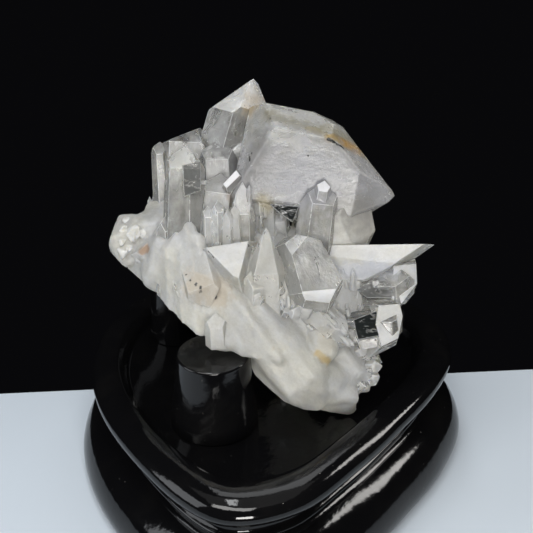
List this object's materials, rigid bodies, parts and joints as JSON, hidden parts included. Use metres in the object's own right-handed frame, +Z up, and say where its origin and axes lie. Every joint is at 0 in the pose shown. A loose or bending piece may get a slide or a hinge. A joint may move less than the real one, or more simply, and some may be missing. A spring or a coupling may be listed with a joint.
{
  "type": "lemurian quartz cluster",
  "caption": "Natural cluster of clear and milky quartz crystals leaning in the dish of a carved black lacquered wooden stand with turned pegs.",
  "frame": {"origin": "centre of the outer size, on the stand's flat underside", "axes": "+Z up, -Y towards the viewer of the cluster's front, +X to that viewer's right"},
  "size_m": [0.1136, 0.1182, 0.1069],
  "materials": {
    "milky_quartz": "gloss",
    "black_lacquer": "gloss"
  },
  "bodies": {
    "root": {"quartz_cluster": "milky_quartz", "carved_stand": "black_lacquer", "front_peg": "black_lacquer", "back_peg": "black_lacquer"}
  },
  "joints": []
}
